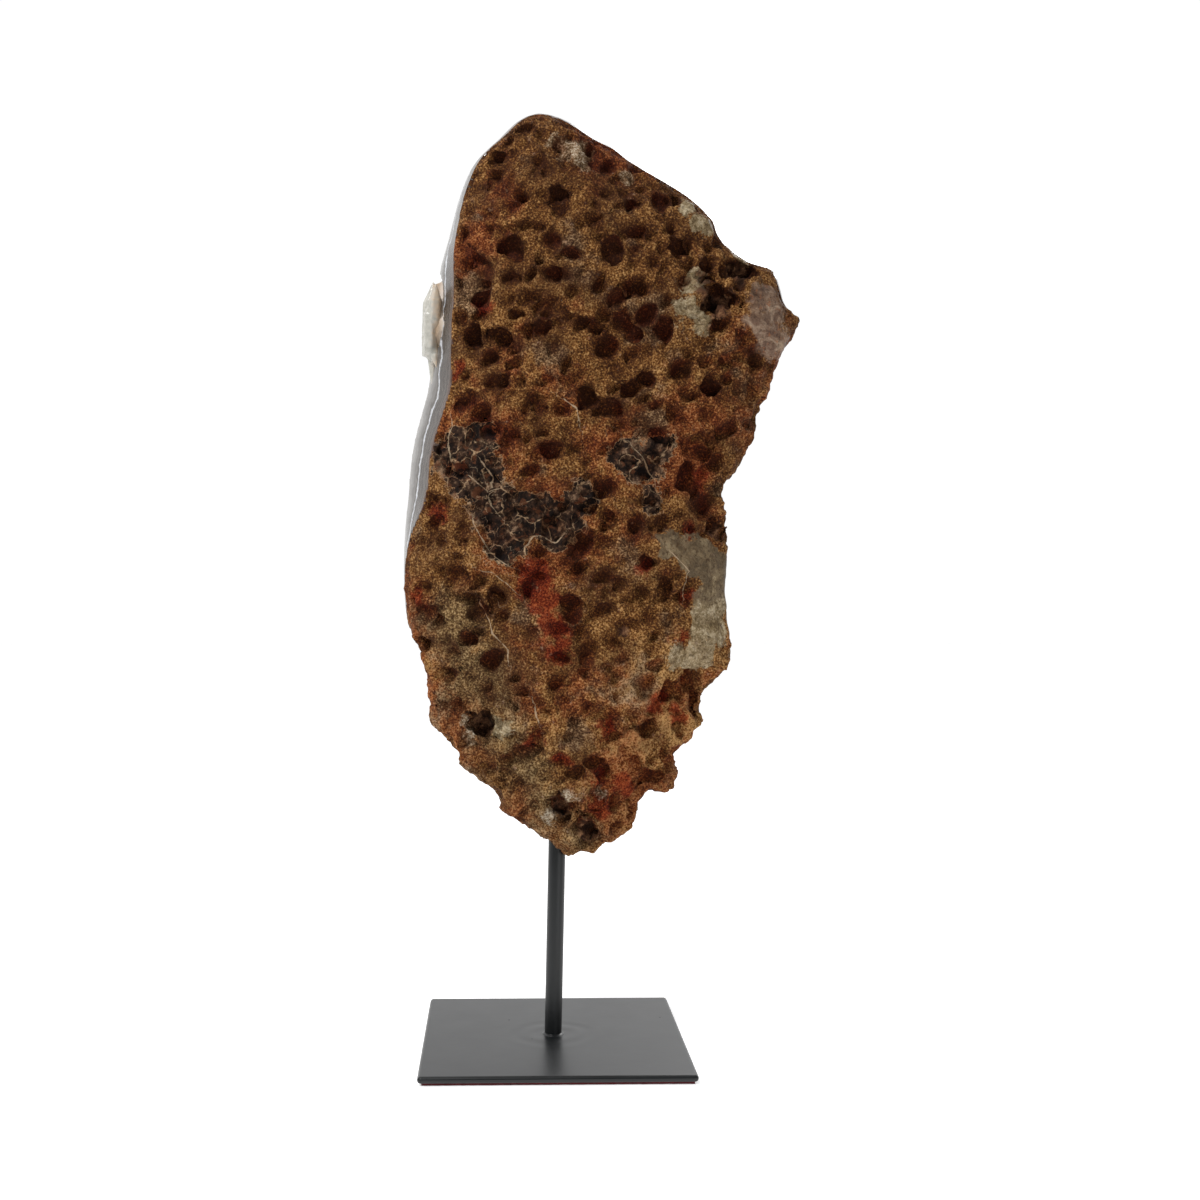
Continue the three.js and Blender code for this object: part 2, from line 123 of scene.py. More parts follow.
def averaged(mesh, values, rounds):   # each point drawn towards its neighbours, again and again
    edges = np.empty(len(mesh.edges) * 2, dtype=np.int64)
    mesh.edges.foreach_get("vertices", edges)
    a, b = edges[0::2], edges[1::2]
    count = len(mesh.vertices)
    neighbours = np.bincount(a, minlength=count) + np.bincount(b, minlength=count)
    out = values.copy()
    for _ in range(rounds):
        near = np.stack([np.bincount(a, out[b, k], count) + np.bincount(b, out[a, k], count)
                         for k in range(out.shape[1])], axis=1)
        out = 0.5 * out + 0.5 * near / neighbours[:, None]
    return out


# Camera

pictureCamera = {
    "place": (-0.0247, -0.660, 0.2063),
    "turnDegrees": -1.21,         # about Z, towards +X
    "focalPixels": 1415,
    "pictureSide": 1200,
    "axisPixel": 530,             # where the lens axis meets the picture, from its left
}


def makeCamera():
    bpy.ops.object.camera_add(location=pictureCamera["place"],
                              rotation=(math.radians(90), 0, math.radians(pictureCamera["turnDegrees"])))
    camera = bpy.context.object
    camera.name = "pictureCamera"
    side = pictureCamera["pictureSide"]
    camera.data.sensor_width = 36
    camera.data.lens = 36 * pictureCamera["focalPixels"] / side
    camera.data.shift_x = (side / 2 - pictureCamera["axisPixel"]) / side
    scene.camera = camera


makeCamera()
print("camera placed")


# Node helpers

def newMaterial(name):
    material = bpy.data.materials.new(name)
    material.use_nodes = True
    tree = material.node_tree
    return material, tree, tree.nodes["Principled BSDF"]


def setInputs(tree, node, inputs):
    for name, value in inputs.items():
        if isinstance(value, bpy.types.NodeSocket):
            tree.links.new(value, node.inputs[name])
        else:
            node.inputs[name].default_value = value


def addNode(tree, kind, inputs=None, **settings):
    made = tree.nodes.new(kind)
    for name, value in settings.items():
        setattr(made, name, value)
    setInputs(tree, made, inputs or {})
    return made


def placeOf(tree):
    return addNode(tree, "ShaderNodeTexCoord").outputs["Object"]


def addBump(tree, shader, height, strength, distance):
    bump = addNode(tree, "ShaderNodeBump", {"Height": height, "Strength": strength, "Distance": distance})
    tree.links.new(bump.outputs["Normal"], shader.inputs["Normal"])


def math2(tree, operation, a, b=0.0, clamp=False):
    return addNode(tree, "ShaderNodeMath", {0: a, 1: b}, operation=operation, use_clamp=clamp).outputs[0]


def times(tree, a, b):
    return math2(tree, "MULTIPLY", a, b)


def plus(tree, base, value, share):   # base and a share of the value
    return math2(tree, "ADD", base, times(tree, value, share))


def opposite(tree, value):   # one less the value
    return math2(tree, "SUBTRACT", 1.0, value)


def stepBetween(tree, value, low, high):
    return addNode(tree, "ShaderNodeMapRange", {"Value": value, "From Min": low, "From Max": high},
                   interpolation_type="SMOOTHSTEP").outputs["Result"]


def mixColour(tree, share, a, b, blend="MIX"):
    a, b = (value if isinstance(value, bpy.types.NodeSocket) else (*value, 1) for value in (a, b))
    return addNode(tree, "ShaderNodeMix", {0: share, 6: a, 7: b}, data_type="RGBA",
                   blend_type=blend).outputs[2]


def colourRamp(tree, value, stops):
    made = addNode(tree, "ShaderNodeValToRGB", {"Fac": value})
    while len(made.color_ramp.elements) < len(stops):
        made.color_ramp.elements.new(0.5)
    for element, (position, colour) in zip(made.color_ramp.elements, stops):
        element.position = position
        element.color = (*colour, 1)
    return made.outputs["Color"]


def noiseNode(tree, place, scale, detail=2.0, roughness=0.5, distortion=0.0):
    return addNode(tree, "ShaderNodeTexNoise", {"Vector": place, "Scale": scale, "Detail": detail,
                   "Roughness": roughness, "Distortion": distortion}).outputs["Fac"]


def attributeOf(tree, name):
    return addNode(tree, "ShaderNodeAttribute", attribute_name=name).outputs["Fac"]


# Agate slab. Places on the rind are x, z in millimetres from the middle of the stand.

agateSlab = {
    "middle": (22, 259),
    "voxel": 1.28,
    "bevel": (-12, 15.5),         # y where the polished bevel begins, and where it meets the front face
    "bevelBands": 9,              # thickness of agate that the bevel cuts through
    "polished": (41.7, 215.5),    # degrees round the middle, anticlockwise
    "polishEnds": 2,              # degrees over which the polish ends, and its bands before it
    "bandsFade": 16,
    "overTop": (106, 124),        # up to there the bevel is narrow and its bands are thin
    "topNarrowing": 13,
    "topBands": 0.1,
    "topShift": 6,
    "lowerLeft": (188, 207),      # there the bevel runs out
    "leftNarrowing": 18,
    "frontFace": 19.2,
    "rimBand": (13, 18.9),        # y of the rim's outer edge
    "hollowDepths": (1, 19.5),
    # how far towards +Y a face points, on the floors of deep pits, the front face and in the hollow
    "pitFloor": (-0.82, -0.68), "frontFacing": (0.75, 0.92), "hollowFloor": 0.7, "hollowWall": -0.05,
    "pitBoost": 0.35,
    "deepestBoosted": 4,
    "mediumPits": {"count": 460, "radius": (3.0, 5.6), "depthShare": 0.9, "apart": 0.62, "slant": 0.5,
                   "seed": 5},
    "smallPits": {"count": 420, "radius": (1.1, 1.9), "depthShare": 0.8, "apart": 1.1, "slant": 0.2,
                  "seed": 8},
    "pitDepths": (0.5, 1.4),      # from the shallowest to the deepest
    "pitReach": 1.15,             # of its radius, for a pit's soft edge
    "pitSearch": 1.5,
    "pitUneven": 0.5,
    "bend": 2.6,                  # how far the pits are bent out of shape
    "inner": (0.45, 0.75),        # only well inside the outline
    "lumps": 3.6,                 # height of the lumps where the skin flaked off
    "shards": 5.5,                # and where it broke away round the deep holes
    # rind shapes: texture, size, height, middle and settings
    "rindShapes": [("CLOUDS", 10, 2.2, 0.62, {"noise_depth": 1}), ("VORONOI", 4.2, 1.5, 0.75, {}),
                   ("CLOUDS", 2.6, 1.5, 0.6, {"noise_depth": 1})],
    # rounds of averaging, from a close look at the shape to a wide one
    "rounds": {"facing": 12, "pitDepth": 45, "inner": 60, "surface": (60, 180), "pit": 10, "tilt": (8, 90)},
    # painted shade: the depth in millimetres at which a pit is darkest, and how much slopes facing down
    # darken
    "pitShadeDepth": 2.8,
    "downSlopeShade": 0.75,
    "veinSway": 1.6,
    "patchSway": 4,
    "patchEdge": 7,
    "zoneEdge": 22,
    "polishedShare": 0.8,
    # the modelled colour patches, as overlapping rounds of x, z, radius
    "flaked": [(-46, 272, 10), (-36, 262, 13), (-36, 278, 9), (-28, 248, 12), (-12, 244, 12),
               (2, 240, 11), (-22, 232, 9), (12, 252, 7), (32, 272, 8), (40, 266, 9), (48, 276, 7),
               (44, 251, 6)],
    "red": [(-9, 215, 9), (-5, 204, 8), (-1, 193, 7), (2, 182, 5), (-33, 338, 3.5), (66, 262, 4),
            (46, 160, 5), (58, 155, 4), (31, 121, 5), (19, 114, 6), (21, 126, 4), (-44, 312, 3),
            (-62, 209, 3), (-52, 247, 3.5), (-9, 143, 3.5), (3, 135, 3.5), (24, 148, 4), (56, 189, 3.5),
            (60, 236, 3.5), (41, 221, 3), (60, 207, 3)],
    "dull": [(-44, 196, 16), (-34, 172, 17), (-30, 148, 14), (-14, 130, 12), (-2, 112, 12), (12, 99, 9)],
    "pale": [(42, 168, 15), (50, 150, 14), (32, 140, 14), (58, 176, 10)],
    "grey": [(64, 226, 9), (72, 220, 10), (73, 208, 10), (71, 195, 10), (65, 181, 8), (58, 230, 5),
             (-24, 149, 5), (52, 231, 6), (55, 181, 6), (68, 378, 6), (60, 386, 4), (59, 336, 6),
             (62, 350, 6), (86, 364, 4), (66, 331, 5)],
    "smoothBrown": [(97, 341, 9), (99, 326, 8), (91, 331, 6)],
    # painted shade: the insides of the deep holes, coloured dark
    "deepHoleShade": [(69, 343, 4.5), (74, 338, 5), (79, 344, 3.5), (66, 350, 2.5), (84, 356, 5),
                  (-33, 149, 5), (2, 113, 3.5), (15, 101, 4), (29, 192, 3), (75, 238, 3.5)],
    "openHoles": [(71, 341, 8.5), (83, 355, 9), (78, 341, 6)],
    "broken": [(71, 342, 15), (84, 352, 10), (62, 352, 7), (-33, 149, 10), (2, 112, 8), (15, 101, 8),
               (75, 238, 6), (8, 411, 8)],
    "cream": [(6, 410, 5), (12, 408, 5), (-2, 414, 3), (33, 400, 4), (-39, 150, 4), (-38, 145, 3),
              (-1, 109, 3.5), (6, 118, 2.5), (19, 119, 2.5)],
    "veins": [[(-33, 204), (-30, 198), (-28, 191), (-22, 185), (-21, 179)], [(-10, 160), (-7, 150)],
              [(-47, 290), (-48, 280), (-47, 270)], [(-38, 262), (-30, 255), (-22, 258)],
              [(-34, 270), (-28, 262), (-30, 250), (-24, 243)], [(52, 228), (60, 220), (58, 208)],
              [(8, 240), (0, 232), (-8, 236), (-14, 230)], [(34, 276), (40, 270), (44, 262)],
              [(-34, 220), (-28, 218), (-22, 214), (-17, 209)], [(4, 296), (10, 292), (11, 285)],
              [(-38, 244), (-33, 234), (-29, 227), (-20, 221)]],
}


def coverOf(x, z, rounds, edge=5.0):
    deepest = np.full(len(x), -1e3)
    for cx, cz, radius in rounds:
        deepest = np.maximum(deepest, radius - np.hypot(x - cx, z - cz))
    return np.clip(0.5 + deepest / edge, 0, 1)


def offsetFromVeins(x, z):   # negative on one side, so that it is exact between the points too
    nearest = np.full(len(x), 1e3)
    for line in agateSlab["veins"]:
        for (ax, az), (bx, bz) in zip(line, line[1:]):
            length = (bx - ax) ** 2 + (bz - az) ** 2
            t = np.clip(((x - ax) * (bx - ax) + (z - az) * (bz - az)) / length, 0, 1)
            distance = np.hypot(ax + t * (bx - ax) - x, az + t * (bz - az) - z)
            side = np.where((bx - ax) * (z - az) < (bz - az) * (x - ax), -1, 1)
            nearest = np.where(distance < abs(nearest), side * distance, nearest)
    return nearest


def agateMasks(points, normals):   # where the stone is polished, hollow or rind, and how deep in the agate
    x, y, z = points.T / mm
    facing = normals[:, 1]
    middleX, middleZ = agateSlab["middle"]
    rindEdge, rimEdge = agateSlab["bevel"]
    first, last = agateSlab["polished"]
    soft = agateSlab["polishEnds"]
    ragged = noiseAt(points, 5 * mm, 1)
    angle = np.degrees(np.arctan2(z - middleZ, x - middleX)) % 360 + 2.5 * ragged
    angle += 5 * noiseAt(points, 17 * mm, 21)
    holes = coverOf(x, z, agateSlab["openHoles"], 2)
    along = smoothStep(angle, first - soft, first + soft)
    along *= 1 - smoothStep(angle, last - soft, last + soft)
    outside = smoothStep(facing, *agateSlab["pitFloor"])   # leaves out the floors of deep pits
    inwards = (x - middleX) * normals[:, 0] + (z - middleZ) * normals[:, 2] < 0
    front = smoothStep(facing, *agateSlab["frontFacing"]) * (y > agateSlab["frontFace"])
    bottom, mouth = agateSlab["hollowDepths"]
    floor = (y < mouth) & (facing > agateSlab["hollowFloor"])
    wall = inwards & (facing > agateSlab["hollowWall"])
    hollow = (y > bottom) & (floor | wall)
    thin = agateSlab["topBands"]
    thick = thin + (1 - thin) * smoothStep(angle, *agateSlab["overTop"])
    edge = rindEdge + ragged + agateSlab["topNarrowing"] * (1 - thick)
    edge += agateSlab["leftNarrowing"] * smoothStep(angle, *agateSlab["lowerLeft"])
    bevel = along * outside * (1 - holes) * smoothStep(y, edge - 0.6, edge + 0.4)
    polish = np.maximum(np.maximum(bevel, front), hollow)

    share = np.clip((y - rindEdge) / (rimEdge - rindEdge), 0, 1)
    fading = 1 - smoothStep(angle, last - agateSlab["bandsFade"], last + soft)
    band = agateSlab["bevelBands"] * share * along * thick * fading
    rimFrom, rimTo = agateSlab["rimBand"]
    outer = kdtree.KDTree(len(points))
    for i in np.flatnonzero((y > rimFrom) & (y < rimTo) & ~hollow & ~inwards):
        outer.insert(points[i], int(i))
    outer.balance()
    for i in np.flatnonzero((y > rimTo) | hollow):
        band[i] += outer.find(points[i])[2] / mm
    band -= agateSlab["topShift"] * (1 - thick) * along * (y > rimFrom) * ~hollow
    return polish, band


def pressPits(points, normals, rind, pits, taken):   # round pits side by side, with thin walls between
    random.seed(pits["seed"])
    tree = kdtree.KDTree(len(points))
    for i, point in enumerate(points):
        tree.insert(point, i)
    tree.balance()
    places = [int(i) for i in np.flatnonzero((rind > 0.9) & ~taken)]
    push = np.zeros(len(points))
    made = []
    for _ in range(pits["count"] * 6):
        middle = Vector(points[random.choice(places)])
        radius = random.uniform(*pits["radius"]) * mm
        near = any((middle - other).length < pits["apart"] * (radius + otherRadius)
                   for other, otherRadius in made)
        if len(made) >= pits["count"] or near:
            continue
        made.append((middle, radius))
        depth = radius * pits["depthShare"] * random.uniform(*agateSlab["pitDepths"])
        for point, i, distance in tree.find_range(middle, radius * agateSlab["pitSearch"]):
            uneven = 1 + agateSlab["pitUneven"] * noise.noise(point / (5 * mm))
            t = distance / (radius * agateSlab["pitReach"]) * uneven
            below = (middle.z - point.z) / radius      # each runs down to a steep lower lip
            ramp = min(1, t * (1 - pits["slant"] * below))
            push[i] = max(push[i], depth * 0.5 * (1 + math.cos(math.pi * ramp)) * (1 - t ** 6))
    points -= normals * (push * rind)[:, None]


def bendPits(points, inner):   # draws the round pits out of shape, and leaves the stone's outline
    bends = [agateSlab["bend"] * (noiseAt(points, 8 * mm, seed) + 0.4 * noiseAt(points, 3.5 * mm, seed + 1))
             for seed in (31, 33)]
    for k, bend in zip((0, 2), bends):
        points[:, k] += mm * inner * bend


def raiseLumps(points, normals, rind, flaked, broken):   # on the flaked patches and round the deep holes
    lumps = noiseAt(points, 4.5 * mm, 3) - 0.3 + 0.6 * noiseAt(points, 2.3 * mm, 2)
    lumps *= agateSlab["lumps"] * flaked * (1 - broken)
    shards = noiseAt(points, 8 * mm, 9) + 0.6 * noiseAt(points, 3.4 * mm, 7)
    lumps += agateSlab["shards"] * broken * shards
    points += normals * (mm * rind * lumps)[:, None]


def roughenRind(piece, spongy):
    group = piece.vertex_groups.new(name="rind")
    for i in np.flatnonzero(spongy > 0.02):
        group.add([int(i)], float(spongy[i]), "REPLACE")
    for textureKind, size, height, middle, settings in agateSlab["rindShapes"]:
        texture = bpy.data.textures.new("rindShape", textureKind)
        texture.noise_scale = size * mm
        for name, value in settings.items():
            setattr(texture, name, value)
        addModifier(piece, "DISPLACE", texture=texture, texture_coords="LOCAL", strength=height * mm,
                    mid_level=middle, vertex_group="rind")


def markColours(mesh, points, normals, rounds):   # what the rind's material reads at each point
    closer, wider = rounds["surface"]
    wide = 0.6 * averaged(mesh, points, closer) + 0.4 * averaged(mesh, points, wider)
    # painted shade: the deeper a point lies below the surface around it, the darker the rind there
    pits = averaged(mesh, np.einsum("ij,ij->i", wide - points, normals)[:, None], rounds["pit"])[:, 0]
    close, around = rounds["tilt"]
    tilt = averaged(mesh, normals, close)[:, 2:] - averaged(mesh, normals, around)[:, 2:]
    # painted shade: slopes that face down are darker, as if lit from above
    pits = pits / (agateSlab["pitShadeDepth"] * mm) - agateSlab["downSlopeShade"] * tilt[:, 0]
    setAttribute(mesh, "pit", np.clip(pits, -1, 1))
    x, y, z = points.T / mm
    behind = smoothStep(-y, -4, 4)
    sway = agateSlab["veinSway"] * noiseAt(points, 5 * mm, 6)
    setAttribute(mesh, "vein", offsetFromVeins(x + sway, z - sway))
    x = x + agateSlab["patchSway"] * noiseAt(points, 9 * mm, 11)
    z = z + agateSlab["patchSway"] * noiseAt(points, 9 * mm, 13)
    for name in ("flaked", "red", "grey", "smoothBrown", "cream", "deepHoleShade"):
        setAttribute(mesh, name, coverOf(x, z, agateSlab[name], agateSlab["patchEdge"]) * behind)
    for name in ("dull", "pale"):
        setAttribute(mesh, name, coverOf(x, z, agateSlab[name], agateSlab["zoneEdge"]) * behind)


def makeAgateSlab():
    piece = copyOfNode("agate_slab", "agateSlab")
    addModifier(piece, "REMESH", mode="VOXEL", voxel_size=agateSlab["voxel"] * mm)
    addModifier(piece, "SMOOTH", factor=0.5, iterations=2)
    mesh = piece.data
    rounds = agateSlab["rounds"]
    points = readVectors(mesh, "co")
    normals = readVectors(mesh, "normal")
    wideNormals = averaged(mesh, normals, rounds["facing"])
    wideNormals /= np.linalg.norm(wideNormals, axis=1)[:, None]
    polish, band = agateMasks(points, wideNormals)
    rind = 1 - polish

    pitDepth = np.einsum("ij,ij->i", averaged(mesh, points, rounds["pitDepth"]) - points, normals)
    boosted = np.clip(pitDepth, 0, agateSlab["deepestBoosted"] * mm)
    points -= normals * (boosted * agateSlab["pitBoost"] * rind)[:, None]
    x, y, z = points.T / mm
    cover = {name: coverOf(x, z, agateSlab[name]) * (y < 2)
             for name in ("flaked", "broken", "grey", "smoothBrown")}
    spongy = rind * (1 - 0.85 * np.maximum(cover["grey"], cover["smoothBrown"]))
    taken = (pitDepth > 0.9 * mm) | (cover["flaked"] > 0.5)
    pressPits(points, normals, spongy, agateSlab["mediumPits"], taken)
    pressPits(points, normals, spongy, agateSlab["smallPits"], taken)
    backwards = -averaged(mesh, normals, rounds["inner"])[:, 1]
    bendPits(points, smoothStep(backwards, *agateSlab["inner"]) * spongy)
    raiseLumps(points, normals, rind, cover["flaked"], cover["broken"])
    setPoints(mesh, points)
    roughenRind(piece, spongy)

    points = readVectors(mesh, "co")
    normals = readVectors(mesh, "normal")
    points = np.clip(points, *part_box("agate_slab"))
    setPoints(mesh, points)
    setAttribute(mesh, "band", band)
    markColours(mesh, points, normals, rounds)
    finishPiece(piece, "agate_slab", "agate", rindMaterial(), polishedMaterial())
    for face in mesh.polygons:
        face.material_index = int(np.mean(polish[list(face.vertices)]) > agateSlab["polishedShare"])
    makeActive(piece)
    bpy.ops.object.shade_smooth()
    print("agate slab:", len(mesh.polygons), "faces")


# Each list of colours runs from the darkest tone to the lightest.
rindColours = {
    "gold": [(0.36, (0.028, 0.0085, 0.0030)), (0.50, (0.080, 0.029, 0.0072)),
             (0.60, (0.18, 0.078, 0.021)), (0.74, (0.43, 0.24, 0.090))],
    "rust": [(0.36, (0.033, 0.0062, 0.0025)), (0.50, (0.090, 0.020, 0.0055)),
             (0.60, (0.20, 0.056, 0.014)), (0.74, (0.40, 0.17, 0.065))],
    "greyBrown": [(0.36, (0.024, 0.0105, 0.0048)), (0.50, (0.068, 0.034, 0.015)),
                  (0.60, (0.17, 0.092, 0.043)), (0.74, (0.43, 0.28, 0.15))],
    "olive": [(0.36, (0.024, 0.0115, 0.0048)), (0.50, (0.066, 0.036, 0.0135)),
              (0.60, (0.15, 0.090, 0.036)), (0.74, (0.36, 0.25, 0.12))],
    "red": [(0.36, (0.030, 0.0026, 0.0010)), (0.52, (0.105, 0.0100, 0.0025)), (0.74, (0.29, 0.050, 0.013))],
    "greyStone": [(0.3, (0.040, 0.030, 0.017)), (0.5, (0.11, 0.079, 0.045)), (0.7, (0.25, 0.19, 0.11))],
    "paleStone": [(0.40, (0.045, 0.030, 0.014)), (0.50, (0.145, 0.103, 0.050)),
                  (0.57, (0.27, 0.205, 0.115)), (0.68, (0.52, 0.44, 0.30))],
    "brownStone": [(0.3, (0.040, 0.022, 0.016)), (0.50, (0.150, 0.092, 0.062)), (0.70, (0.40, 0.30, 0.21))],
    "cream": [(0.38, (0.08, 0.045, 0.02)), (0.52, (0.24, 0.16, 0.09)), (0.7, (0.52, 0.46, 0.36))],
    "flaked": [(0.38, (0.0060, 0.0024, 0.0011)), (0.52, (0.025, 0.0110, 0.0056)),
               (0.62, (0.060, 0.031, 0.0165)), (0.76, (0.20, 0.12, 0.070))],
    # painted shade for the insides of the deep holes, with paler lobes
    "holeShade": [(0.42, (0.018, 0.008, 0.005)), (0.55, (0.10, 0.043, 0.022)), (0.70, (0.33, 0.175, 0.085))],
    "darkZone": (0.034, 0.0115, 0.0045),
    "specks": (0.040, 0.022, 0.010),
    "sparks": (0.30, 0.10, 0.035),
    "gaps": (0.020, 0.007, 0.0025),
    "warmFlakes": (0.13, 0.045, 0.018),
    "ridges": (0.50, 0.33, 0.19),
    "brokenLip": (0.36, 0.20, 0.10),
    "veins": (0.42, 0.31, 0.20),
    # painted shade for the pits; the red one also carries the pits' own red tinge
    "brownShade": (0.74, 0.58, 0.48),
    "redShade": (0.88, 0.40, 0.26),
}

# How much each thing lightens or darkens the spongy rind. Heights are metres above the table.
rindTones = {
    # the darkening in the pits is painted shade, the lightening on the ridges between them a painted
    # highlight
    "grain": 0.8, "crumbs": 0.275, "clumps": 0.22, "pitShade": -0.155, "ridgeHighlight": 0.045,
    "low": 0.050, "pale": 0.100, "high": -0.052,
    "lowHeights": (0.10, 0.26),
    "highHeights": (0.33, 0.43),
    "darkStoneHeights": (0.200, 0.214, 0.29, 0.31),   # between them the grey stone is darker
}


def rindTone(tree, place, grain, crumbs, pit, height):
    # painted shade in the pits, and a painted highlight on the ridges between them
    pitShade = addNode(tree, "ShaderNodeMapRange", {"Value": pit, "From Min": -0.2, "From Max": 0.95})
    low = opposite(tree, stepBetween(tree, height, *rindTones["lowHeights"]))
    parts = {
        "clumps": math2(tree, "SUBTRACT", noiseNode(tree, place, 330, 3, 0.6), 0.5),
        "pitShade": pitShade.outputs["Result"],
        "ridgeHighlight": stepBetween(tree, times(tree, pit, -1.0), 0.05, 0.5),
        "low": low,
        "pale": attributeOf(tree, "pale"),
        "high": stepBetween(tree, height, *rindTones["highHeights"]),
    }
    tone = plus(tree, times(tree, grain, rindTones["grain"]), crumbs, rindTones["crumbs"])
    for name, value in parts.items():
        tone = plus(tree, tone, value, rindTones[name])
    return tone, low


def spongyColour(tree, place, tone, low, ragged):   # gold, with rusty, grey-brown, olive and dark zones
    zones = [noiseNode(tree, place, scale, 4, 0.6) for scale in (21, 34, 55)]
    gold, rust, greyBrown, olive = (colourRamp(tree, tone, rindColours[name])
                                    for name in ("gold", "rust", "greyBrown", "olive"))
    rusty = plus(tree, plus(tree, zones[0], ragged, 0.3), low, 0.06)
    colour = mixColour(tree, stepBetween(tree, rusty, 0.49, 0.64), gold, rust)
    greyish = plus(tree, zones[1], ragged, 0.3)
    colour = mixColour(tree, stepBetween(tree, greyish, 0.52, 0.66), colour, greyBrown)
    dull = plus(tree, attributeOf(tree, "dull"), ragged, 1.2)
    colour = mixColour(tree, times(tree, stepBetween(tree, dull, 0.2, 0.9), 0.85), colour, olive)
    darker = times(tree, stepBetween(tree, zones[2], 0.44, 0.66), 0.5)
    return mixColour(tree, darker, colour, rindColours["darkZone"]), zones[1]


def greyStoneColour(tree, place, grain, ragged, height):
    dark = colourRamp(tree, noiseNode(tree, place, 130, 6, 0.75, 0.6), rindColours["greyStone"])
    gritty = plus(tree, times(tree, grain, 0.35), noiseNode(tree, place, 150, 6, 0.8, 0.5), 0.75)
    pale = colourRamp(tree, gritty, rindColours["paleStone"])
    darkFrom, darkFull, paleFrom, paleFull = rindTones["darkStoneHeights"]
    at = plus(tree, height, ragged, 0.08)
    palest = math2(tree, "ADD", opposite(tree, stepBetween(tree, at, darkFrom, darkFull)),
                   stepBetween(tree, at, paleFrom, paleFull), True)
    colour = mixColour(tree, times(tree, palest, 0.85), dark, pale)
    specks = stepBetween(tree, noiseNode(tree, place, 480, 3, 0.6), 0.58, 0.68)
    return mixColour(tree, times(tree, specks, 0.7), colour, rindColours["specks"])


def brownStoneColour(tree, place):
    colour = colourRamp(tree, noiseNode(tree, place, 120, 6, 0.75, 1.0), rindColours["brownStone"])
    sparks = stepBetween(tree, noiseNode(tree, place, 260, 4, 0.7), 0.58, 0.66)
    return mixColour(tree, times(tree, sparks, 0.6), colour, rindColours["sparks"])


def flakedColour(tree, place, ragged):   # nearly black, with pale winding ridges
    swirl = addNode(tree, "ShaderNodeTexNoise", {"Vector": place, "Scale": 120.0, "Detail": 3.0})
    bent = addNode(tree, "ShaderNodeVectorMath", {0: swirl.outputs["Color"], 3: 0.007},
                   operation="SCALE").outputs[0]
    bent = addNode(tree, "ShaderNodeVectorMath", {0: place, 1: bent}, operation="ADD").outputs[0]
    cells = addNode(tree, "ShaderNodeTexVoronoi", {"Vector": bent, "Scale": 115.0},
                    feature="DISTANCE_TO_EDGE").outputs["Distance"]
    ridges = opposite(tree, stepBetween(tree, cells, 0.0, 0.05))
    ridges = times(tree, ridges, stepBetween(tree, ragged, -0.06, 0.10))
    hollows = math2(tree, "SUBTRACT", noiseNode(tree, place, 130, 3, 0.6), 0.5)
    lumpy = math2(tree, "ADD", noiseNode(tree, place, 420, 4, 0.7), hollows)
    colour = colourRamp(tree, lumpy, rindColours["flaked"])
    warm = stepBetween(tree, noiseNode(tree, place, 240, 3, 0.6), 0.56, 0.64)
    colour = mixColour(tree, times(tree, warm, 0.55), colour, rindColours["warmFlakes"])
    return mixColour(tree, times(tree, ridges, 0.85), colour, rindColours["ridges"]), ridges


